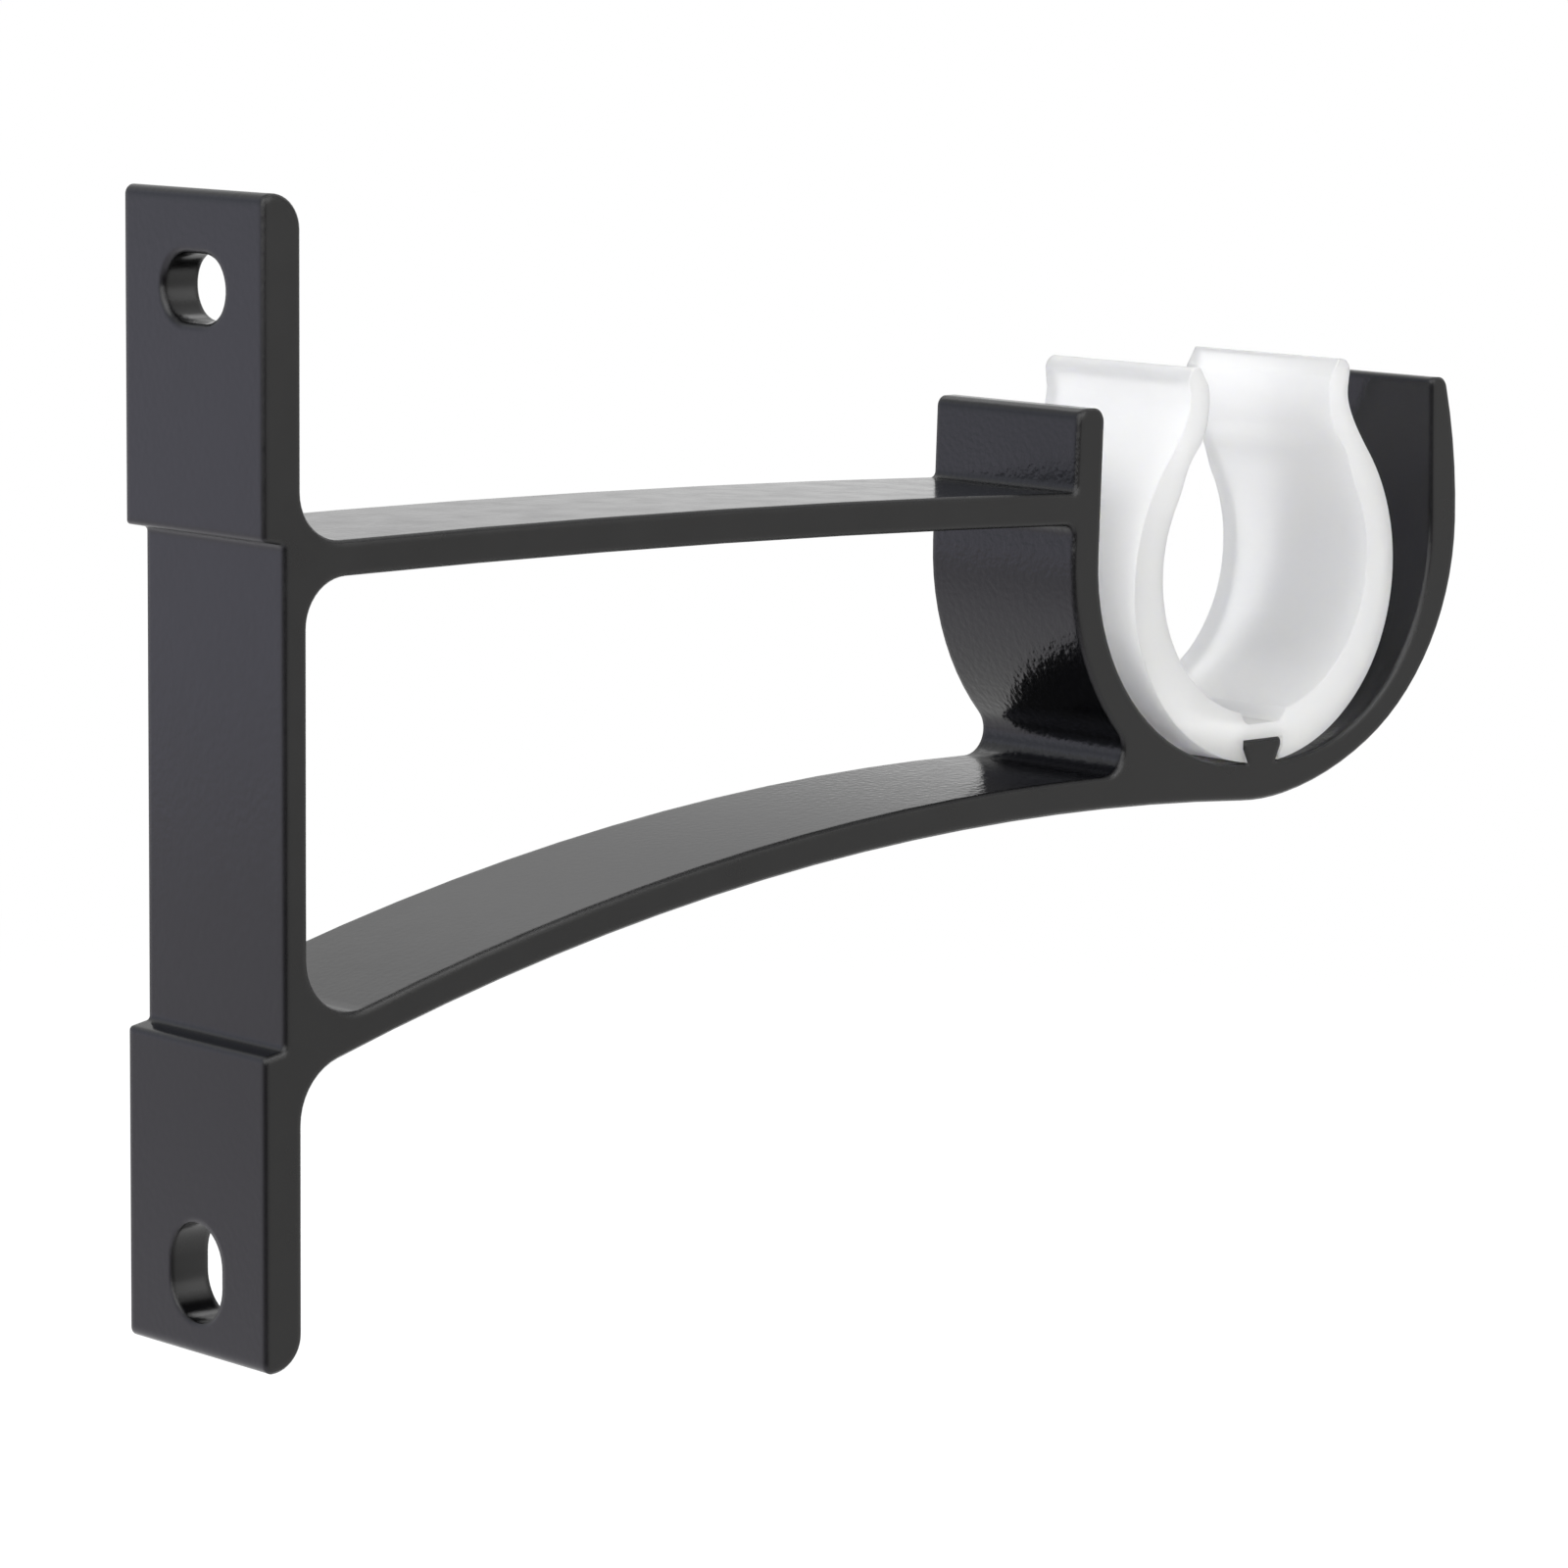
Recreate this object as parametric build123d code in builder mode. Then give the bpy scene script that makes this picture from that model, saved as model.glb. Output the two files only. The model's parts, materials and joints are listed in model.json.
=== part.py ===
"""Curtain pole bracket: a one-piece extruded wall bracket and the plastic clip that holds the pole.

Row frame: +X away from the wall, +Z up, Y along the pole. The origin is on the wall plane, at the middle
of the wall plate's back. All sizes are in millimetres.
"""
import math
import os

from build123d import *

os.makedirs("parts", exist_ok=True)

# Driving dimensions

width = 19.1                    # length of the extrusion, along the pole

plate_height = 98.2
pad_thickness = 3.9             # upper and lower pads, which touch the wall
recess_depth = 2.1              # the middle of the back stands clear of the wall
recess_top = 20.3               # ends of the recess at its floor
recess_low = -21.8
recess_slant = 0.4              # the recess ends slope outward by this much
middle_front = 4.5              # front face of the thinner middle
plate_front_radius = 3.0
plate_back_radius = 0.85

upper_slot = (8.4, 5.8)         # length along Y, height
upper_slot_z = 40.9
lower_slot = (7.2, 8.7)         # width along Y, length along Z
lower_slot_z = -41.95

edge_break = 0.25               # edges of the two cut faces
slot_break = 0.3                # both rims of the upper slot

pole_x = 119.0                  # pole centre, from the wall
pole_z = 10.7                   # pole centre, above the plate's centre
pole_radius = 14.0

arm_thickness = 3.0
upper_peak = (30.0, 17.5)       # highest point of the upper arm's underside
upper_radius = 1640.0
lower_peak = (93.0, -10.45)     # highest point of the lower arm's underside
lower_radius = 293.0

cup_left = (117.0, 12.45)       # centres of the cup's two inner corners
cup_left_corner = 20.3          # and their radii
cup_right = (121.6, 12.65)
cup_right_corner = 20.5
cup_back = (117.0, 12.65)       # circle that the outside of the cup's left wall runs along
cup_back_radius = 23.7
wall_lean = 1.7                 # degrees the cup's walls lean towards the pole
pocket_radius = 2.4             # round between the cup and the lower arm
lug_top = 26.95
hook_top = 27.65
heel_centre = (121.95, 13.6)    # circle that the outside of the hook runs along
heel_radius = 23.85
hook_back_radius = 50.0         # the hook's outer face curves in towards its tip
belly_x = 118.3                 # where the hook's outside meets the lower arm

rib_base_half = 2.0             # the cup's left inner corner ends at the rib
rib_half = 2.65
rib_height = 2.2
rib_waist = 1.4                 # height at which the rib reaches its full width
key_gap = 0.05                  # clearance between the rib and the clip's groove

clip_outer_radius = 17.7
clip_outer_drop = 0.7           # the outer circle sits this far below the pole centre
neck_half = 8.25                # half the mouth's narrowest width
dip_half = 3.1                  # half width of the dip in the seat's bottom
dip_floor = -4.15


def on(centre, radius, degrees):
    """A point on a circle."""
    angle = math.radians(degrees)
    return (centre[0] + radius * math.cos(angle), centre[1] + radius * math.sin(angle))


def over(centre, radius, x):
    """The upper point of a circle at one x."""
    return (x, centre[1] + math.sqrt(radius ** 2 - (x - centre[0]) ** 2))


def heading(degrees):
    """A unit direction."""
    return (math.cos(math.radians(degrees)), math.sin(math.radians(degrees)))


def crossing(first, first_radius, second, second_radius):
    """The left crossing of two circles."""
    dx = second[0] - first[0]
    dz = second[1] - first[1]
    gap = math.hypot(dx, dz)
    along = (first_radius ** 2 - second_radius ** 2 + gap ** 2) / (2 * gap)
    side = math.sqrt(first_radius ** 2 - along ** 2)
    foot = (first[0] + along * dx / gap, first[1] + along * dz / gap)
    return min((foot[0] - side * dz / gap, foot[1] + side * dx / gap),
               (foot[0] + side * dz / gap, foot[1] - side * dx / gap))


def between(centre, towards, radius):
    """The point at one distance from a centre, on the line to another point."""
    gap = math.hypot(towards[0] - centre[0], towards[1] - centre[1])
    return (centre[0] + radius * (towards[0] - centre[0]) / gap,
            centre[1] + radius * (towards[1] - centre[1]) / gap)


def nearest(shape, point):
    """The vertex of a sketch nearest to a point of the side view."""
    return shape.vertices().sort_by_distance(Vector(point[0], point[1], 0))[0]


# Circles that the bracket's outline runs along

upper_centre = (upper_peak[0], upper_peak[1] - upper_radius)
upper_top_radius = upper_radius + arm_thickness
lower_centre = (lower_peak[0], lower_peak[1] - lower_radius)
lower_top_radius = lower_radius + arm_thickness
cup_floor = cup_left[1] - cup_left_corner
hook_centre = (heel_centre[0] + heel_radius - hook_back_radius, heel_centre[1])

# Bracket outline points

half = plate_height / 2
lean = math.tan(math.radians(wall_lean))
front_top = (pad_thickness, half)
front_low = (pad_thickness, -half)
back_top = (0, half)
back_low = (0, -half)
lug_in = on(cup_left, cup_left_corner, 180 - wall_lean)
lug_out = on(cup_back, cup_back_radius, 180 - wall_lean)
lug_b = (lug_in[0] + (lug_top - lug_in[1]) * lean, lug_top)
lug_a = (lug_out[0] + (lug_top - lug_out[1]) * lean, lug_top)
lug_foot_x = lug_out[0] + (upper_peak[1] + 1.5 - lug_out[1]) * lean
lug_neck_x = lug_out[0] + (upper_peak[1] - 1.2 - lug_out[1]) * lean
upper_root = over(upper_centre, upper_top_radius, pad_thickness)
upper_end = over(upper_centre, upper_top_radius, lug_foot_x)
rib_points = [
    (pole_x - rib_base_half, cup_floor),
    (pole_x - rib_half, cup_floor + rib_waist),
    (pole_x - rib_half, cup_floor + rib_height),
    (pole_x + rib_half, cup_floor + rib_height),
    (pole_x + rib_half, cup_floor + rib_waist),
    (pole_x + rib_base_half, cup_floor),
]
floor_right = (cup_right[0], cup_floor)
hook_in = on(cup_right, cup_right_corner, wall_lean)
hook_tip_in = (hook_in[0] - (hook_top - hook_in[1]) * lean, hook_top)
hook_out = on(heel_centre, heel_radius, 0)
hook_rise = math.degrees(math.asin((hook_top - hook_centre[1]) / hook_back_radius))
hook_tip_out = on(hook_centre, hook_back_radius, hook_rise)
heel = on(heel_centre, heel_radius, -60)
belly = over(lower_centre, lower_radius, belly_x)
lower_root = over(lower_centre, lower_radius, pad_thickness)

# Hollow between the two arms, the plate and the cup

pocket = crossing(cup_back, cup_back_radius + pocket_radius, lower_centre, lower_top_radius + pocket_radius)
pocket_cup = between(cup_back, pocket, cup_back_radius)
pocket_arm = between(lower_centre, pocket, lower_top_radius)
pocket_tip = on(pocket, pocket_radius, 0)
hollow_low = over(lower_centre, lower_top_radius, middle_front)
hollow_top = over(upper_centre, upper_radius, middle_front)
hollow_end = over(upper_centre, upper_radius, lug_neck_x)

with BuildPart() as bracket:
    with BuildSketch(Plane.XZ) as outline:
        with BuildLine():
            Polyline(back_top, front_top, upper_root)
            ThreePointArc(upper_root, over(upper_centre, upper_top_radius, 50), upper_end)
            Polyline(upper_end, lug_a, lug_b, lug_in)
            ThreePointArc(lug_in, on(cup_left, cup_left_corner, 225), rib_points[0])
            Polyline(*rib_points, floor_right)
            ThreePointArc(floor_right, on(cup_right, cup_right_corner, 320), hook_in)
            Polyline(hook_in, hook_tip_in, hook_tip_out)
            ThreePointArc(hook_tip_out, on(hook_centre, hook_back_radius, hook_rise / 2), hook_out)
            ThreePointArc(hook_out, on(heel_centre, heel_radius, -25), heel)
            TangentArc(heel, belly, tangent=heading(210))
            ThreePointArc(belly, over(lower_centre, lower_radius, 60), lower_root)
            Polyline(
                lower_root,
                front_low,
                back_low,
                (0, recess_low - recess_slant),
                (recess_depth, recess_low),
                (recess_depth, recess_top),
                (0, recess_top + recess_slant),
                back_top,
            )
        make_face()
        with BuildLine():
            ThreePointArc(hollow_low, over(lower_centre, lower_top_radius, 55), pocket_arm)
            ThreePointArc(pocket_arm, pocket_tip, pocket_cup)
            ThreePointArc(pocket_cup, on(cup_back, cup_back_radius, 200), lug_out)
            Line(lug_out, hollow_end)
            ThreePointArc(hollow_end, over(upper_centre, upper_radius, 50), hollow_top)
            Line(hollow_top, hollow_low)
        make_face(mode=Mode.SUBTRACT)

        # Rounds where the arms leave the plate
        fillet(nearest(outline, upper_root), 4.2)
        fillet(nearest(outline, hollow_top), 4.2)
        fillet(nearest(outline, hollow_low), 4.8)
        fillet(nearest(outline, lower_root), 5.5)

        # Plate corners and recess ends
        fillet([nearest(outline, front_top), nearest(outline, front_low)], plate_front_radius)
        fillet([nearest(outline, back_top), nearest(outline, back_low)], plate_back_radius)
        for level in (recess_top, recess_low):
            fillet(nearest(outline, (recess_depth, level)), 0.4)
            fillet(nearest(outline, (0, level)), 0.4)

        # Lug, hook, rib and underside
        fillet(nearest(outline, upper_end), 0.6)
        fillet(nearest(outline, hollow_end), 1.0)
        fillet(nearest(outline, lug_a), 1.0)
        fillet(nearest(outline, lug_b), 1.3)
        fillet(nearest(outline, hook_tip_in), 0.45)
        fillet(nearest(outline, hook_tip_out), 1.2)
        fillet([nearest(outline, rib_points[2]), nearest(outline, rib_points[3])], 0.45)
        fillet(nearest(outline, belly), 25)
    extrude(amount=width / 2, both=True)

    # Screw slots through the two pads
    with BuildSketch(Plane.YZ.offset(-1)) as slots:
        with Locations((0, upper_slot_z)):
            SlotOverall(upper_slot[0], upper_slot[1])
        with Locations((0, lower_slot_z)):
            SlotOverall(lower_slot[1], lower_slot[0], rotation=90)
    extrude(amount=8, mode=Mode.SUBTRACT)

    # Broken edges around the two cut faces and the upper slot's rims
    cut_faces = bracket.faces().filter_by(lambda face: abs(face.center().Y) > width / 2 - 0.01)
    chamfer(cut_faces.edges(), edge_break)
    slot_rims = bracket.edges().filter_by(
        lambda edge: min(abs(edge.center().X), abs(edge.center().X - pad_thickness)) < 0.01
        and abs(edge.center().Y) < 6
        and abs(edge.center().Z - upper_slot_z) < 5
    )
    chamfer(slot_rims, slot_break)

# Clip outline, right half first, measured from the pole's vertical plane

outer_centre = (0, pole_z - clip_outer_drop)
seat_centre = (0, pole_z)
dip_edge = (dip_half, pole_z - math.sqrt(pole_radius ** 2 - dip_half ** 2))
dip_toe = (dip_half - 1.35, dip_floor)
dip_heel = (dip_half - 0.4, dip_floor + 0.5)
seat_end = on(seat_centre, pole_radius, 30)
arm_start = on(outer_centre, clip_outer_radius, 38)
arm_side = (14.95, 0.3)
under_side = (10.5, -4.43)
groove_base = (rib_base_half + key_gap, cup_floor + key_gap)
groove_top = cup_floor + rib_height + key_gap

inner_bend = (10.6, 21.2)
inner_turn = (9.1, 23.15)
inner_neck = (neck_half, 25.9)
lip_in = (8.4, 28.35)
lip_peak = (9.5, 30.05)
lip_out = (10.95, 28.75)
outer_neck = (10.75, 26.7)
outer_bend = (12.5, 22.85)

with BuildPart() as pole_clip:
    with BuildSketch(Plane.XZ) as clip_outline:
        with BuildLine() as right_side:
            Line((0, dip_floor), dip_toe)
            TangentArc(dip_toe, dip_heel, tangent=(1, 0))
            Line(dip_heel, dip_edge)
            ThreePointArc(dip_edge, on(seat_centre, pole_radius, -25), seat_end)
            Spline(
                seat_end,
                inner_bend,
                inner_turn,
                inner_neck,
                lip_in,
                tangents=(heading(120), heading(74)),
            )
            Line(lip_in, lip_peak)
            TangentArc(lip_peak, lip_out, tangent=heading(10))
            Spline(
                lip_out,
                outer_neck,
                outer_bend,
                arm_start,
                tangents=(heading(-96), heading(-52)),
            )
            ThreePointArc(arm_start, on(outer_centre, clip_outer_radius, 0), arm_side)
            ThreePointArc(arm_side, under_side, groove_base)
            Polyline(
                groove_base,
                (rib_half + key_gap, cup_floor + rib_waist),
                (rib_half + key_gap, groove_top),
                (0, groove_top),
                (0, dip_floor),
            )
        make_face()
        mirror(about=Plane.YZ)
    extrude(amount=width / 2, both=True)

pole_clip.part = pole_clip.part.translate((pole_x, 0, 0))

bracket.part.label = "bracket"
pole_clip.part.label = "pole_clip"
export_step(bracket.part, "parts/bracket.step")
export_step(pole_clip.part, "parts/pole_clip.step")
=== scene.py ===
"""Curtain pole bracket: paint, plastic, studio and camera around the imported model.

The file is laid out as an add-on and is run as a script. Every length is in metres, in the row frame:
+X away from the wall, +Y along the pole, +Z up, origin on the wall plane at the middle of the plate.
"""

import json
import math

import bpy
from bpy.props import FloatProperty, FloatVectorProperty, PointerProperty
from bpy.types import Operator, Panel, PropertyGroup
from mathutils import Euler, Matrix, Vector


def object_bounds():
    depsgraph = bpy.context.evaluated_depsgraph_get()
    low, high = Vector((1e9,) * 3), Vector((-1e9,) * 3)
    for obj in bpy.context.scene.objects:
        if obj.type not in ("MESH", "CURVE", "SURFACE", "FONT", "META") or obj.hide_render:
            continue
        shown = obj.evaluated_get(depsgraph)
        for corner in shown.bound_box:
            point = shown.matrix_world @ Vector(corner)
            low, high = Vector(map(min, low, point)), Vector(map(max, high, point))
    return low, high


bl_info = {
    "name": "Curtain pole bracket",
    "version": (1, 0, 0),
    "blender": (4, 5, 0),
    "location": "3D view > Sidebar > Pole bracket",
    "description": "Finishes the bracket and its pole clip and sets them in a plain studio",
    "category": "Object",
}

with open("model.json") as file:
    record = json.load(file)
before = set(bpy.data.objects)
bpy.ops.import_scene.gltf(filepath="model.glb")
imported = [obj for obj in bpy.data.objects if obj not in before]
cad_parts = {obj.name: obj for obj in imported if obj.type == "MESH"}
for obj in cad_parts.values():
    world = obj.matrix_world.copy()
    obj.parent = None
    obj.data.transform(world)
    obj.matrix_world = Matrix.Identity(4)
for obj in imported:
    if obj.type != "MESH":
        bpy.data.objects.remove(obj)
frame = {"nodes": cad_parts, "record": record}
cad_box = [list(corner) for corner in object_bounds()]

BRACKET = frame["nodes"]["bracket"]
CLIP = frame["nodes"]["pole_clip"]

# Places from the frame, those of the stage to the nearest centimetre

MIDDLE = [round((low + high) / 2, 2) for low, high in zip(*cad_box)]
FLOOR_GAP = 0.11  # from the plate's lower end down to the floor
FLOOR_LEVEL = round(cad_box[0][2] - FLOOR_GAP, 2)
SEAT = next(mount["pos_m"] for mount in frame["record"]["mounts"] if mount["name"] == "pole_seat")
POCKET_FROM_SEAT = (-0.023, 0.0, -0.0147)  # to the hollow where the cup's outside meets the lower arm
POCKET = [seat + step for seat, step in zip(SEAT, POCKET_FROM_SEAT)]

# Paint and plastic

END_FACE_LEAN = (0.6, 0.95)  # share of the normal along the pole where an end face starts and is whole
PEEL_REACH = (0.018, 0.036)  # distances from the pocket where the peel starts to calm and is calm
PEEL_ROUNDNESS = 1.5
PAINT_SHADE = {"Cloud Size": 0.018, "Low": 0.85, "High": 1.15}
PAINT_GLOSS_CHANGE = {"Cloud Size": 0.004, "Low": -0.03, "High": 0.03}
PLASTIC_SHADE = {"Cloud Size": 0.006, "Low": 0.97, "High": 1.01}
PLASTIC_HAZE_SIZE = 0.003
PLASTIC_HAZE_CHANGE = 0.05  # up and down from the clip's roughness
PLASTIC_GRAIN = {"Dimple Size": 0.0022, "Stretch Along Pole": 3.0, "Roundness": 1.0}
SCATTER_SHARES = (1.0, 1.0, 1.1)  # how far red, green and blue travel, as shares of the scatter depth

# Stage and camera

WHITE = (1.0, 1.0, 1.0)
FLOOR_HALF = 4.0  # half the floor's side
FLOOR_FADE = (0.35, 0.9)  # distances between which the floor turns plain white to the camera
BOUNCE_FADE = (0.25, 0.7)  # distances between which the floor's gain wears off
WALL_TINT = (0.3, -0.6)  # X of a direction where the wall side colour starts and is full
LAMPS = {  # place and side of each square lamp
    "back_lamp": ((0.35, 0.45, 1.0), 0.8),
    "front_lamp": ((0.3, -1.0, 0.5), 0.8),
    "left_lamp": ((-0.75, -0.4, 0.5), 1.2),
    "wall_side_lamp": ((-0.62, 0.78, 0.2), 0.8),
}
SENSOR_WIDTH = 36.0  # millimetres
SIGHT = (0.01, 50.0)  # nearest and furthest that the camera sees


# Node helpers


def put(tree, kind, place, values=(), **settings):
    """A node of one kind at a place in the tree, with its input values and settings."""
    node = tree.nodes.new(kind)
    node.location = (place[0] * 200, place[1] * 160)
    for name, value in settings.items():
        setattr(node, name, value)
    for socket, value in dict(values).items():
        node.inputs[socket].default_value = value
    return node


def join(tree, *pairs):
    """Links each (output, input) pair."""
    for start, end in pairs:
        tree.links.new(start, end)


def smooth_step(tree, place, reach, start, end):
    """A node that eases from one value to another while its input crosses the reach."""
    values = {"From Min": reach[0], "From Max": reach[1], "To Min": start, "To Max": end}
    return put(tree, "ShaderNodeMapRange", place, values, interpolation_type="SMOOTHSTEP")


def scaled(tree, place, color, share):
    """The output of a colour times a number."""
    node = put(tree, "ShaderNodeVectorMath", place, operation="SCALE")
    join(tree, (color, node.inputs[0]), (share, node.inputs["Scale"]))
    return node.outputs[0]


def new_group(name, inputs, outputs):
    """An empty shader node group: inputs are (name, type, default), outputs are (name, type)."""
    tree = bpy.data.node_groups.new(name, "ShaderNodeTree")
    for label, kind, default in inputs:
        socket = tree.interface.new_socket(name=label, in_out="INPUT", socket_type=kind)
        if default is not None:
            socket.default_value = default
    for label, kind in outputs:
        tree.interface.new_socket(name=label, in_out="OUTPUT", socket_type=kind)
    start = put(tree, "NodeGroupInput", (-5, 0))
    end = put(tree, "NodeGroupOutput", (4, 0))
    return tree, start.outputs, end.inputs


def use_group(tree, group, place, values=()):
    """One use of a node group in a tree."""
    return put(tree, "ShaderNodeGroup", place, values, node_tree=group)


def use_effect(tree, name, place, values=()):
    """One use of a shared surface effect, which is built the first time it is asked for."""
    group = bpy.data.node_groups.get(name) or EFFECTS[name](name)
    return use_group(tree, group, place, values)


def clean_tree(owner):
    """The emptied node tree of a material or a world."""
    owner.use_nodes = True
    owner.node_tree.nodes.clear()
    return owner.node_tree


def new_material(name):
    """A node material that holds only a Principled BSDF and its output."""
    material = bpy.data.materials.new(name)
    tree = clean_tree(material)
    shader = put(tree, "ShaderNodeBsdfPrincipled", (4, 0))
    output = put(tree, "ShaderNodeOutputMaterial", (6, 0))
    join(tree, (shader.outputs["BSDF"], output.inputs["Surface"]))
    return material, tree, shader


# Shared surface effects


def relief_group(name):
    """Fine height of a moulded or painted surface: round dimples, or stretched along the pole."""
    tree, given, wanted = new_group(
        name,
        [
            ("Dimple Size", "NodeSocketFloat", 0.001),
            ("Stretch Along Pole", "NodeSocketFloat", 1.0),
            ("Roundness", "NodeSocketFloat", 2.0),
        ],
        [("Height", "NodeSocketFloat")],
    )
    place = put(tree, "ShaderNodeTexCoord", (-4, 1))
    squeeze = put(tree, "ShaderNodeMath", (-4, -1), {0: 1.0}, operation="DIVIDE")
    along = put(tree, "ShaderNodeCombineXYZ", (-3, -1), {"X": 1.0, "Z": 1.0})
    spread = put(tree, "ShaderNodeVectorMath", (-2, 1), operation="MULTIPLY")
    pitch = put(tree, "ShaderNodeMath", (-3, -2), {0: 1.0}, operation="DIVIDE")
    dimples = put(tree, "ShaderNodeTexNoise", (0, 1), {"Roughness": 0.45})
    join(
        tree,
        (given["Stretch Along Pole"], squeeze.inputs[1]),
        (squeeze.outputs[0], along.inputs["Y"]),
        (place.outputs["Object"], spread.inputs[0]),
        (along.outputs[0], spread.inputs[1]),
        (given["Dimple Size"], pitch.inputs[1]),
        (spread.outputs[0], dimples.inputs["Vector"]),
        (pitch.outputs[0], dimples.inputs["Scale"]),
        (given["Roundness"], dimples.inputs["Detail"]),
        (dimples.outputs["Fac"], wanted["Height"]),
    )
    return tree


def mottle_group(name):
    """A soft cloud that wanders between two values."""
    tree, given, wanted = new_group(
        name,
        [
            ("Cloud Size", "NodeSocketFloat", 0.02),
            ("Low", "NodeSocketFloat", 0.0),
            ("High", "NodeSocketFloat", 1.0),
        ],
        [("Value", "NodeSocketFloat")],
    )
    place = put(tree, "ShaderNodeTexCoord", (-3, 1))
    pitch = put(tree, "ShaderNodeMath", (-3, -1), {0: 1.0}, operation="DIVIDE")
    cloud = put(tree, "ShaderNodeTexNoise", (-1, 1), {"Detail": 3.0, "Roughness": 0.5})
    reach = put(tree, "ShaderNodeMapRange", (1, 0), {"From Min": 0.3, "From Max": 0.7})
    join(
        tree,
        (given["Cloud Size"], pitch.inputs[1]),
        (place.outputs["Object"], cloud.inputs["Vector"]),
        (pitch.outputs[0], cloud.inputs["Scale"]),
        (cloud.outputs["Fac"], reach.inputs["Value"]),
        (given["Low"], reach.inputs["To Min"]),
        (given["High"], reach.inputs["To Max"]),
        (reach.outputs["Result"], wanted["Value"]),
    )
    return tree


def end_face_group(name):
    """1 on the sawn or moulded end faces, which look along the pole, and 0 on the long faces."""
    start, whole = END_FACE_LEAN
    tree, _, wanted = new_group(name, [], [("Mask", "NodeSocketFloat")])
    surface = put(tree, "ShaderNodeNewGeometry", (-4, 0))
    split = put(tree, "ShaderNodeSeparateXYZ", (-3, 0))
    size = put(tree, "ShaderNodeMath", (-2, 0), operation="ABSOLUTE")
    step = put(tree, "ShaderNodeMapRange", (0, 0), {"From Min": start, "From Max": whole})
    join(
        tree,
        (surface.outputs["Normal"], split.inputs[0]),
        (split.outputs["Y"], size.inputs[0]),
        (size.outputs[0], step.inputs["Value"]),
        (step.outputs["Result"], wanted["Mask"]),
    )
    return tree


def soft_edge_group(name):
    """The surface's direction with its sharp edges rounded over."""
    tree, given, wanted = new_group(
        name,
        [("Radius", "NodeSocketFloat", 0.0003)],
        [("Normal", "NodeSocketVector")],
    )
    bevel = put(tree, "ShaderNodeBevel", (0, 0), samples=6)
    join(tree, (given["Radius"], bevel.inputs["Radius"]), (bevel.outputs["Normal"], wanted["Normal"]))
    return tree


EFFECTS = {
    "surface_relief": relief_group,
    "soft_mottle": mottle_group,
    "end_faces": end_face_group,
    "soft_edges": soft_edge_group,
}


# Materials


def tone_by_face(tree, shader, mask, shade, long_color, end_color):
    """One colour on the long faces and another on the end faces, under a soft change of shade; on the
    clip the warmer ends are a painted tint of light.
    """
    tint = put(
        tree,
        "ShaderNodeMix",
        (-2, 2),
        {"A": (*long_color, 1), "B": (*end_color, 1)},
        data_type="RGBA",
    )
    depth = put(tree, "ShaderNodeMix", (0, 2), {"Factor": 1.0}, data_type="RGBA", blend_type="MULTIPLY")
    join(
        tree,
        (mask, tint.inputs["Factor"]),
        (tint.outputs["Result"], depth.inputs["A"]),
        (shade, depth.inputs["B"]),
        (depth.outputs["Result"], shader.inputs["Base Color"]),
    )


def raised(tree, shader, height, depth, edge_radius):
    """A surface with the given height on it, and with its sharp edges rounded over."""
    edges = use_effect(tree, "soft_edges", (0, -3), {"Radius": edge_radius})
    bump = put(tree, "ShaderNodeBump", (2, -2), {"Strength": 1.0, "Distance": depth})
    join(
        tree,
        (height, bump.inputs["Height"]),
        (edges.outputs["Normal"], bump.inputs["Normal"]),
        (bump.outputs["Normal"], shader.inputs["Normal"]),
    )


def black_paint(look):
    """Black paint on an extrusion: glossy long faces with a light orange peel, satin sawn faces."""
    material, tree, shader = new_material("black_paint")
    shader.inputs["IOR"].default_value = look.ior
    ends = use_effect(tree, "end_faces", (-4, 2))
    shade = use_effect(tree, "soft_mottle", (-4, 1), PAINT_SHADE)
    change = use_effect(tree, "soft_mottle", (-4, -0.5), PAINT_GLOSS_CHANGE)
    gloss = put(
        tree,
        "ShaderNodeMapRange",
        (-2, 0),
        {"To Min": look.long_face_roughness, "To Max": look.sawn_face_roughness},
    )
    patchy = put(tree, "ShaderNodeMath", (0, 0), operation="ADD")
    peel = use_effect(
        tree, "surface_relief", (-2, -2), {"Dimple Size": look.peel_size, "Roundness": PEEL_ROUNDNESS}
    )
    spot = put(tree, "ShaderNodeTexCoord", (-5, -2))
    away = put(tree, "ShaderNodeVectorMath", (-4, -2), {1: look.peel_centre}, operation="DISTANCE")
    calmer = smooth_step(tree, (-3, -2), PEEL_REACH, 1.0, look.calm_peel)
    long_only = put(tree, "ShaderNodeMath", (-3, -1), {0: 1.0}, operation="SUBTRACT")
    share = put(tree, "ShaderNodeMath", (-2, -1), operation="MULTIPLY")
    peel_there = put(tree, "ShaderNodeMath", (0, -2), operation="MULTIPLY")
    join(
        tree,
        (spot.outputs["Object"], away.inputs[0]),
        (away.outputs["Value"], calmer.inputs["Value"]),
        (ends.outputs["Mask"], long_only.inputs[1]),
        (calmer.outputs["Result"], share.inputs[0]),
        (long_only.outputs[0], share.inputs[1]),
        (share.outputs[0], peel_there.inputs[0]),
        (peel.outputs["Height"], peel_there.inputs[1]),
        (ends.outputs["Mask"], gloss.inputs["Value"]),
        (gloss.outputs["Result"], patchy.inputs[0]),
        (change.outputs["Value"], patchy.inputs[1]),
        (patchy.outputs[0], shader.inputs["Roughness"]),
    )
    tone_by_face(
        tree,
        shader,
        ends.outputs["Mask"],
        shade.outputs["Value"],
        look.long_face_color,
        look.sawn_face_color,
    )
    raised(tree, shader, peel_there.outputs[0], look.peel_depth, look.edge_radius)
    return material


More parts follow.
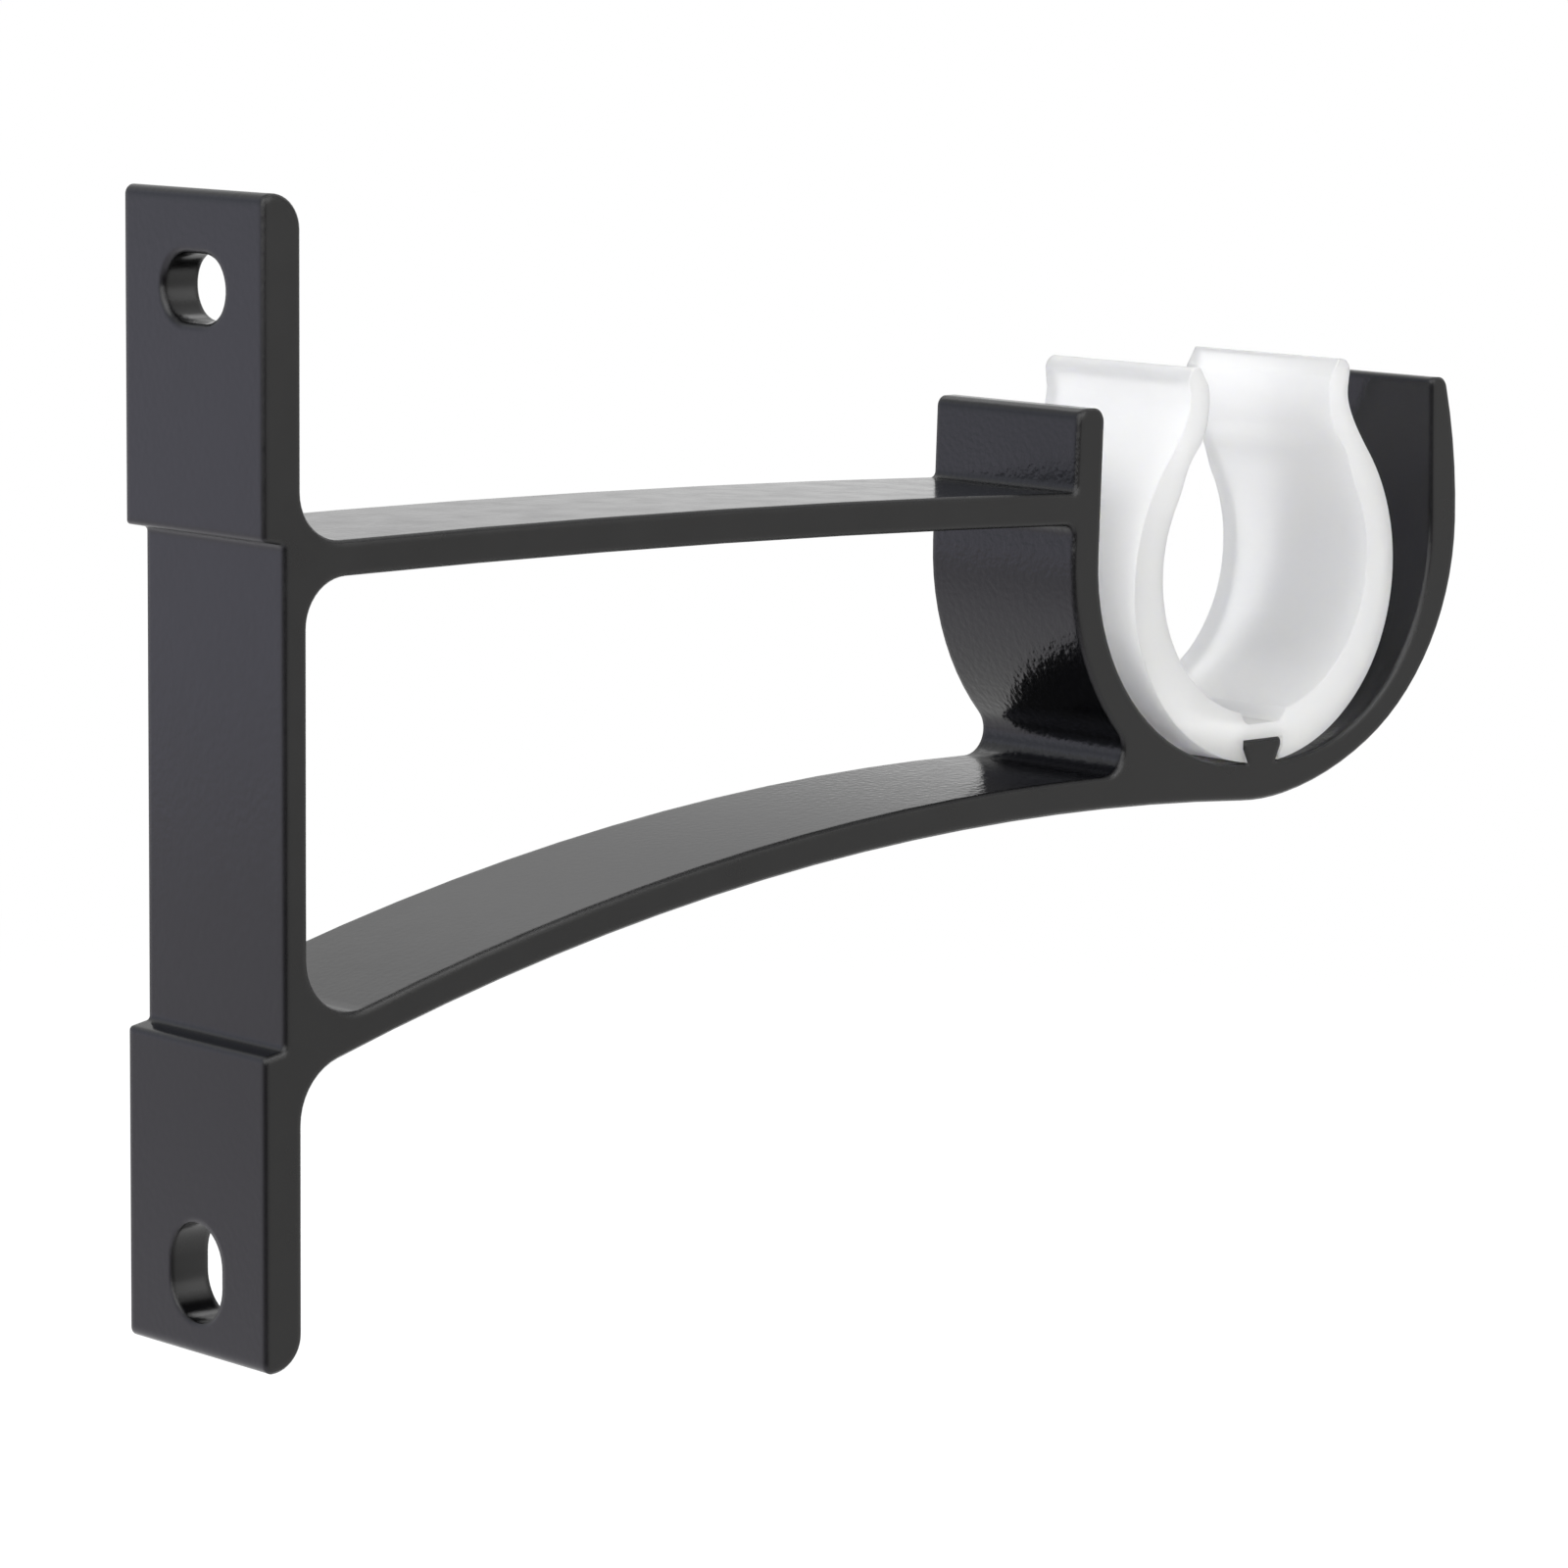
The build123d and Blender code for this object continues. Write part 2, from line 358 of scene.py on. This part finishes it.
def milky_plastic(look):
    """Milky, slightly translucent moulded plastic with a soft gloss."""
    material, tree, shader = new_material("milky_plastic")
    shader.inputs["Transmission Weight"].default_value = look.clarity
    shader.inputs["Subsurface Weight"].default_value = look.scatter
    shader.inputs["Subsurface Scale"].default_value = look.scatter_depth
    shader.inputs["Subsurface Radius"].default_value = SCATTER_SHARES
    ends = use_effect(tree, "end_faces", (-4, 3))
    shade = use_effect(tree, "soft_mottle", (-4, 1), PLASTIC_SHADE)
    haze = use_effect(
        tree,
        "soft_mottle",
        (-4, -0.5),
        {
            "Cloud Size": PLASTIC_HAZE_SIZE,
            "Low": look.roughness - PLASTIC_HAZE_CHANGE,
            "High": look.roughness + PLASTIC_HAZE_CHANGE,
        },
    )
    grain = use_effect(tree, "surface_relief", (-2, -2), PLASTIC_GRAIN)
    join(tree, (haze.outputs["Value"], shader.inputs["Roughness"]))
    # The end faces are tinted a little warmer than the walls: a painted tint of the light that falls on
    # them.
    tone_by_face(tree, shader, ends.outputs["Mask"], shade.outputs["Value"], look.wall_color, look.end_color)
    raised(tree, shader, grain.outputs["Height"], look.ripple_depth, look.edge_radius)
    return material


def finish(piece, material):
    """Puts a material in every slot of a piece."""
    if not piece.material_slots:
        raise RuntimeError(f"{piece.name} has no material slot")
    for slot in piece.material_slots:
        slot.material = material


# Stage


def studio_light_group(stage):
    """Light of the studio in a direction: bright but for its dark side, and tinted towards the wall."""
    tree, given, wanted = new_group(
        "studio_light",
        [
            ("Direction", "NodeSocketVector", None),
            ("Plain Color", "NodeSocketColor", (*WHITE, 1)),
            ("Wall Side Color", "NodeSocketColor", (*WHITE, 1)),
        ],
        [("Color", "NodeSocketColor")],
    )
    way = put(tree, "ShaderNodeVectorMath", (-4, 0), operation="NORMALIZE")
    lean = put(
        tree,
        "ShaderNodeVectorMath",
        (-3, 1),
        {1: Vector(stage.dark_side).normalized()},
        operation="DOT_PRODUCT",
    )
    dark_reach = (math.cos(stage.dark_outer), math.cos(stage.dark_inner))
    level = smooth_step(tree, (-2, 1), dark_reach, stage.bright_level, stage.dark_level)
    side = put(tree, "ShaderNodeSeparateXYZ", (-3, -1))
    plain, full = WALL_TINT
    wallward = put(tree, "ShaderNodeMapRange", (-2, -1), {"From Min": plain, "From Max": full})
    tint = put(tree, "ShaderNodeMix", (0, -1), data_type="RGBA")
    join(
        tree,
        (given["Direction"], way.inputs[0]),
        (way.outputs[0], lean.inputs[0]),
        (lean.outputs["Value"], level.inputs["Value"]),
        (way.outputs[0], side.inputs[0]),
        (side.outputs["X"], wallward.inputs["Value"]),
        (wallward.outputs["Result"], tint.inputs["Factor"]),
        (given["Plain Color"], tint.inputs["A"]),
        (given["Wall Side Color"], tint.inputs["B"]),
    )
    light = scaled(tree, (2, 0), tint.outputs["Result"], level.outputs["Result"])
    join(tree, (light, wanted["Color"]))
    return tree


def white_floor(stage, studio_light):
    """A pale floor well below the bracket, white to the camera from above, that keeps a soft shadow.

    The paint mirrors it as a part of the studio, with the dark side and the tint. It isn't there for
    a camera below it.
    """
    mesh = bpy.data.meshes.new("floor")
    corners = [(-1, -1), (1, -1), (1, 1), (-1, 1)]
    spots = [(x * FLOOR_HALF, y * FLOOR_HALF, stage.floor_level) for x, y in corners]
    mesh.from_pydata(spots, [], [(0, 1, 2, 3)])
    floor = bpy.data.objects.new("floor", mesh)
    bpy.context.scene.collection.objects.link(floor)
    material = bpy.data.materials.new("floor_white")
    tree = clean_tree(material)
    path = put(tree, "ShaderNodeLightPath", (-5, 2))
    spot = put(tree, "ShaderNodeTexCoord", (-6, 0))
    away = put(tree, "ShaderNodeVectorMath", (-5, 0), operation="LENGTH")
    fade = smooth_step(tree, (-4, 0), FLOOR_FADE, stage.floor_glow, 1.0)
    bounce = smooth_step(tree, (-5, -3), BOUNCE_FADE, stage.floor_bounce, 1.0)
    watched = put(tree, "ShaderNodeMath", (-3, 2), operation="MULTIPLY")
    through = put(tree, "ShaderNodeMath", (-3, 3), operation="MAXIMUM")
    share = put(tree, "ShaderNodeMath", (-1, 2), operation="MAXIMUM")
    mirrored = use_group(
        tree, studio_light, (-5, -2), {"Wall Side Color": (*stage.floor_cool_color, 1)}
    )
    bright = scaled(tree, (-4, -2), mirrored.outputs["Color"], bounce.outputs["Result"])
    color = put(tree, "ShaderNodeMix", (-3, -2), {"A": (*WHITE, 1)}, data_type="RGBA")
    card = put(tree, "ShaderNodeBsdfDiffuse", (-1, 0), {"Color": (*WHITE, 1)})
    glow = put(tree, "ShaderNodeEmission", (-1, -1), {"Strength": 1.0})
    lit = put(tree, "ShaderNodeMixShader", (1, 0))
    face = put(tree, "ShaderNodeNewGeometry", (-1, 4))
    below = put(tree, "ShaderNodeMath", (1, 3), operation="MULTIPLY")
    nothing = put(tree, "ShaderNodeBsdfTransparent", (1, -2))
    either = put(tree, "ShaderNodeMixShader", (2, 0))
    output = put(tree, "ShaderNodeOutputMaterial", (3, 0))
    join(
        tree,
        (spot.outputs["Object"], away.inputs[0]),
        (away.outputs["Value"], fade.inputs["Value"]),
        (away.outputs["Value"], bounce.inputs["Value"]),
        (path.outputs["Is Camera Ray"], watched.inputs[0]),
        (fade.outputs["Result"], watched.inputs[1]),
        (path.outputs["Is Glossy Ray"], through.inputs[0]),
        (path.outputs["Is Transmission Ray"], through.inputs[1]),
        (watched.outputs[0], share.inputs[0]),
        (through.outputs[0], share.inputs[1]),
        (spot.outputs["Object"], mirrored.inputs["Direction"]),
        (path.outputs["Is Glossy Ray"], color.inputs["Factor"]),
        (bright, color.inputs["B"]),
        (color.outputs["Result"], glow.inputs["Color"]),
        (share.outputs[0], lit.inputs[0]),
        (card.outputs[0], lit.inputs[1]),
        (glow.outputs[0], lit.inputs[2]),
        (face.outputs["Backfacing"], below.inputs[0]),
        (path.outputs["Is Camera Ray"], below.inputs[1]),
        (below.outputs[0], either.inputs[0]),
        (lit.outputs[0], either.inputs[1]),
        (nothing.outputs[0], either.inputs[2]),
        (either.outputs[0], output.inputs["Surface"]),
    )
    mesh.materials.append(material)


def studio_world(stage, studio_light):
    """The studio above the floor, with a dimmer band low down, and plain white to the camera."""
    world = bpy.data.worlds.new("studio")
    bpy.context.scene.world = world
    tree = clean_tree(world)
    place = put(tree, "ShaderNodeTexCoord", (-5, 0))
    studio = use_group(
        tree,
        studio_light,
        (-3, 0),
        {"Plain Color": (*stage.sky_color, 1), "Wall Side Color": (*stage.cool_color, 1)},
    )
    side = put(tree, "ShaderNodeSeparateXYZ", (-4, -2))
    above = put(tree, "ShaderNodeMath", (-3, 1), {1: stage.band_height}, operation="SUBTRACT")
    away = put(tree, "ShaderNodeMath", (-2, 1), operation="ABSOLUTE")
    band = smooth_step(tree, (-1, 1), (stage.band_flat, stage.band_width), stage.band_level, 1.0)
    dimmed = scaled(tree, (0, 1), studio.outputs["Color"], band.outputs["Result"])
    path = put(tree, "ShaderNodeLightPath", (-4, 3))
    seen = put(tree, "ShaderNodeMath", (-2, 3), operation="MAXIMUM")
    light = put(tree, "ShaderNodeBackground", (-1, 0), {"Strength": 1.0})
    white = put(tree, "ShaderNodeBackground", (-1, -1), {"Color": (*WHITE, 1), "Strength": 1.0})
    mix = put(tree, "ShaderNodeMixShader", (1, 0))
    output = put(tree, "ShaderNodeOutputWorld", (3, 0))
    join(
        tree,
        (place.outputs["Generated"], studio.inputs["Direction"]),
        (place.outputs["Generated"], side.inputs[0]),
        (side.outputs["Z"], above.inputs[0]),
        (above.outputs[0], away.inputs[0]),
        (away.outputs[0], band.inputs["Value"]),
        (dimmed, light.inputs["Color"]),
        (path.outputs["Is Camera Ray"], seen.inputs[0]),
        (path.outputs["Is Transmission Ray"], seen.inputs[1]),
        (seen.outputs[0], mix.inputs[0]),
        (light.outputs[0], mix.inputs[1]),
        (white.outputs[0], mix.inputs[2]),
        (mix.outputs[0], output.inputs["Surface"]),
    )


def soft_lamp(name, power, color):
    """One of the square soft lamps, facing the middle of the bracket."""
    place, side = LAMPS[name]
    lamp = bpy.data.lights.new(name, "AREA")
    lamp.shape = "SQUARE"
    lamp.size = side
    lamp.energy = power
    lamp.color = color
    holder = bpy.data.objects.new(name, lamp)
    holder.location = place
    holder.rotation_euler = (Vector(MIDDLE) - Vector(place)).to_track_quat("-Z", "Y").to_euler()
    bpy.context.scene.collection.objects.link(holder)


def photo_camera(view):
    """The camera where the photograph was taken from."""
    lens = bpy.data.cameras.new("camera")
    lens.lens = view.lens
    lens.sensor_width = SENSOR_WIDTH
    lens.clip_start, lens.clip_end = SIGHT
    camera = bpy.data.objects.new("camera", lens)
    turn = Euler((math.pi / 2 - view.look_down, 0, -view.swing), "XYZ").to_matrix()
    roll = Matrix.Rotation(view.roll, 3, "Z")
    camera.matrix_world = Matrix.Translation(view.place) @ (turn @ roll).to_4x4()
    bpy.context.scene.collection.objects.link(camera)
    bpy.context.scene.camera = camera


# Settings that a user would change


class BracketLook(PropertyGroup):
    """Paint of the bracket"""

    long_face_color: FloatVectorProperty(
        name="Long faces", description="Paint colour on the extruded faces", subtype="COLOR",
        size=3, min=0, max=1, default=(0.0008, 0.0008, 0.0012),
    )
    sawn_face_color: FloatVectorProperty(
        name="Sawn faces", description="Paint colour on the two cut faces", subtype="COLOR",
        size=3, min=0, max=1, default=(0.0018, 0.0016, 0.0014),
    )
    long_face_roughness: FloatProperty(
        name="Long face roughness", description="Gloss of the extruded faces, lower is glossier",
        min=0, max=1, default=0.15, subtype="FACTOR",
    )
    sawn_face_roughness: FloatProperty(
        name="Sawn face roughness", description="Gloss of the cut faces, lower is glossier",
        min=0, max=1, default=0.3, subtype="FACTOR",
    )
    ior: FloatProperty(
        name="IOR", description="Refractive index of the paint, higher reflects more",
        min=1.0, max=3.0, default=1.435,
    )
    peel_size: FloatProperty(
        name="Peel size", description="Size of the paint's orange-peel dimples",
        min=0.0001, max=0.01, default=0.0006, unit="LENGTH", precision=5,
    )
    peel_depth: FloatProperty(
        name="Peel depth", description="Height of the paint's orange-peel dimples",
        min=0, max=0.001, default=0.000045, unit="LENGTH", precision=6,
    )
    peel_centre: FloatVectorProperty(
        name="Peel centre", description="Place in the pocket under the cup where the peel is strongest",
        size=3, subtype="TRANSLATION", unit="LENGTH", precision=4, default=POCKET,
    )
    calm_peel: FloatProperty(
        name="Calm peel", description="Share of the peel's height that is left away from the pocket",
        min=0, max=1, default=0.3, subtype="FACTOR",
    )
    edge_radius: FloatProperty(
        name="Edge radius", description="How far the paint rounds over the edges",
        min=0, max=0.002, default=0.0007, unit="LENGTH", precision=5,
    )


class ClipLook(PropertyGroup):
    """Plastic of the pole clip"""

    wall_color: FloatVectorProperty(
        name="Walls", description="Plastic colour on the clip's curved walls", subtype="COLOR",
        size=3, min=0, max=1, default=(0.975, 0.977, 0.982),
    )
    # Set a little warmer than the walls: a painted tint of the light on the end faces, not a change in
    # the plastic.
    end_color: FloatVectorProperty(
        name="Ends", description="Plastic colour on the clip's end faces", subtype="COLOR",
        size=3, min=0, max=1, default=(0.98, 0.973, 0.967),
    )
    roughness: FloatProperty(
        name="Roughness", description="Gloss of the plastic, lower is glossier",
        min=0, max=1, default=0.42, subtype="FACTOR",
    )
    clarity: FloatProperty(
        name="Clarity", description="Share of the light that passes straight through the plastic",
        min=0, max=1, default=0.65, subtype="FACTOR",
    )
    scatter: FloatProperty(
        name="Milkiness", description="Share of the light that travels inside the plastic",
        min=0, max=1, default=1.0, subtype="FACTOR",
    )
    scatter_depth: FloatProperty(
        name="Scatter depth", description="How far light travels inside the plastic",
        min=0, max=0.02, default=0.006, unit="LENGTH", precision=5,
    )
    ripple_depth: FloatProperty(
        name="Ripple depth", description="Height of the moulded surface's gentle ripples",
        min=0, max=0.001, default=0.00001, unit="LENGTH", precision=6,
    )
    edge_radius: FloatProperty(
        name="Edge radius", description="How far the clip's edges are rounded over",
        min=0, max=0.002, default=0.0003, unit="LENGTH", precision=5,
    )


class StageLook(PropertyGroup):
    """Floor, studio and lamps"""

    floor_level: FloatProperty(
        name="Floor level", description="Height of the floor from the plate's middle",
        default=FLOOR_LEVEL, unit="LENGTH",
    )
    floor_glow: FloatProperty(
        name="Floor glow", description="Share of plain white in the floor near the bracket",
        min=0, max=1, default=0.6, subtype="FACTOR",
    )
    floor_bounce: FloatProperty(
        name="Floor bounce", description="Gain of the floor near the bracket, as the paint mirrors it",
        min=0, max=3, default=1.25,
    )
    floor_cool_color: FloatVectorProperty(
        name="Floor cool colour", description="Colour of the floor on the wall side, as mirrored",
        subtype="COLOR", size=3, min=0, max=2, default=(1.14, 1.11, 1.22),
    )
    bright_level: FloatProperty(
        name="Bright level", description="Strength of the studio's white walls",
        min=0, max=3, default=0.91,
    )
    dark_level: FloatProperty(
        name="Dark level", description="Strength of the studio's dark side",
        min=0, max=3, default=0.1,
    )
    dark_side: FloatVectorProperty(
        name="Dark side", description="Direction in which the studio is dark",
        size=3, subtype="DIRECTION", default=(-0.66, -0.74, 0.14),
    )
    dark_inner: FloatProperty(
        name="Dark centre", description="Angle from the dark side within which it is darkest",
        default=math.radians(20), subtype="ANGLE", unit="ROTATION",
    )
    dark_outer: FloatProperty(
        name="Dark edge", description="Angle from the dark side beyond which the studio is bright",
        default=math.radians(60), subtype="ANGLE", unit="ROTATION",
    )
    band_level: FloatProperty(
        name="Band level", description="Share of the light left in the dimmer band round the studio",
        min=0, max=1, default=0.73,
    )
    band_height: FloatProperty(
        name="Band height", description="Sine of the angle above the horizon of the dimmer band",
        min=-1, max=1, default=0.27,
    )
    band_flat: FloatProperty(
        name="Band middle", description="How far the band's even middle reaches, in the same sine",
        min=0, max=1, default=0.06,
    )
    band_width: FloatProperty(
        name="Band width", description="How far the whole band reaches, in the same sine",
        min=0, max=1, default=0.17,
    )
    sky_color: FloatVectorProperty(
        name="Studio colour", description="Colour of the studio's walls", subtype="COLOR",
        size=3, min=0, max=1, default=WHITE,
    )
    cool_color: FloatVectorProperty(
        name="Cool colour", description="Colour of the studio on the wall side", subtype="COLOR",
        size=3, min=0, max=1, default=(0.93, 0.95, 1.0),
    )
    back_power: FloatProperty(
        name="Back power", description="Power of the soft lamp behind the bracket",
        min=0, max=100, default=2.5, unit="POWER",
    )
    front_power: FloatProperty(
        name="Front power", description="Power of the soft lamp in front, on the right",
        min=0, max=100, default=7.5, unit="POWER",
    )
    left_power: FloatProperty(
        name="Left power", description="Power of the soft lamp on the left",
        min=0, max=100, default=14.5, unit="POWER",
    )
    side_power: FloatProperty(
        name="Side power", description="Power of the soft lamp on the wall side",
        min=0, max=100, default=0.65, unit="POWER",
    )
    side_color: FloatVectorProperty(
        name="Side colour", description="Colour of the soft lamp on the wall side", subtype="COLOR",
        size=3, min=0, max=1, default=(0.62, 0.66, 1.0),
    )


class CameraLook(PropertyGroup):
    """Camera"""

    place: FloatVectorProperty(
        name="Place", description="Where the camera stands", size=3, subtype="TRANSLATION",
        unit="LENGTH", precision=5, default=(-0.30583, -0.41032, 0.07459),
    )
    lens: FloatProperty(
        name="Lens", description="Focal length on a sensor 36 mm wide",
        min=10, max=500, default=141.94, unit="CAMERA",
    )
    swing: FloatProperty(
        name="Swing", description="Angle to the right from looking along +Y",
        default=math.radians(42.203), subtype="ANGLE", unit="ROTATION",
    )
    look_down: FloatProperty(
        name="Look down", description="Angle below the horizon",
        default=math.radians(8.311), subtype="ANGLE", unit="ROTATION",
    )
    roll: FloatProperty(
        name="Roll", description="Turn about the line of sight, anticlockwise",
        default=math.radians(0.575), subtype="ANGLE", unit="ROTATION",
    )


# Operators


class POLEBRACKET_OT_paint_bracket(Operator):
    """Paints the extruded bracket black"""

    bl_idname = "pole_bracket.paint_bracket"
    bl_label = "Paint the bracket"

    def execute(self, context):
        finish(BRACKET, black_paint(context.scene.pole_bracket_paint))
        return {"FINISHED"}


class POLEBRACKET_OT_finish_clip(Operator):
    """Gives the pole clip its milky plastic"""

    bl_idname = "pole_bracket.finish_clip"
    bl_label = "Finish the pole clip"

    def execute(self, context):
        finish(CLIP, milky_plastic(context.scene.pole_bracket_clip))
        return {"FINISHED"}


class POLEBRACKET_OT_set_stage(Operator):
    """Sets the floor, the studio, the lamps and the camera"""

    bl_idname = "pole_bracket.set_stage"
    bl_label = "Set the stage"

    def execute(self, context):
        scene = context.scene
        stage = scene.pole_bracket_stage
        scene.view_settings.view_transform = "Standard"
        studio_light = studio_light_group(stage)
        white_floor(stage, studio_light)
        studio_world(stage, studio_light)
        soft_lamp("back_lamp", stage.back_power, WHITE)
        soft_lamp("front_lamp", stage.front_power, WHITE)
        soft_lamp("left_lamp", stage.left_power, WHITE)
        soft_lamp("wall_side_lamp", stage.side_power, stage.side_color)
        photo_camera(scene.pole_bracket_camera)
        return {"FINISHED"}


class POLEBRACKET_PT_panel(Panel):
    """Lists the pieces, the stage and their settings"""

    bl_idname = "POLEBRACKET_PT_panel"
    bl_label = "Pole bracket"
    bl_space_type = "VIEW_3D"
    bl_region_type = "UI"
    bl_category = "Pole bracket"

    def draw(self, context):
        for operator, settings in STEPS:
            box = self.layout.box()
            box.operator(operator)
            for name in settings:
                group = getattr(context.scene, name)
                for key in group.__annotations__:
                    box.prop(group, key)


STEPS = [
    ("pole_bracket.paint_bracket", ["pole_bracket_paint"]),
    ("pole_bracket.finish_clip", ["pole_bracket_clip"]),
    ("pole_bracket.set_stage", ["pole_bracket_stage", "pole_bracket_camera"]),
]
SETTINGS = {
    "pole_bracket_paint": BracketLook,
    "pole_bracket_clip": ClipLook,
    "pole_bracket_stage": StageLook,
    "pole_bracket_camera": CameraLook,
}
CLASSES = [
    *SETTINGS.values(),
    POLEBRACKET_OT_paint_bracket,
    POLEBRACKET_OT_finish_clip,
    POLEBRACKET_OT_set_stage,
    POLEBRACKET_PT_panel,
]


def register():
    """Adds the classes and gives every scene its settings."""
    for entry in CLASSES:
        bpy.utils.register_class(entry)
    for name, group in SETTINGS.items():
        setattr(bpy.types.Scene, name, PointerProperty(type=group))


def unregister():
    """Takes away what register added."""
    for name in SETTINGS:
        delattr(bpy.types.Scene, name)
    for entry in reversed(CLASSES):
        bpy.utils.unregister_class(entry)


def main():
    """Registers the classes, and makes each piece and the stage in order."""
    register()
    bpy.ops.pole_bracket.paint_bracket()
    bpy.ops.pole_bracket.finish_clip()
    bpy.ops.pole_bracket.set_stage()


if __name__ == "__main__":
    main()
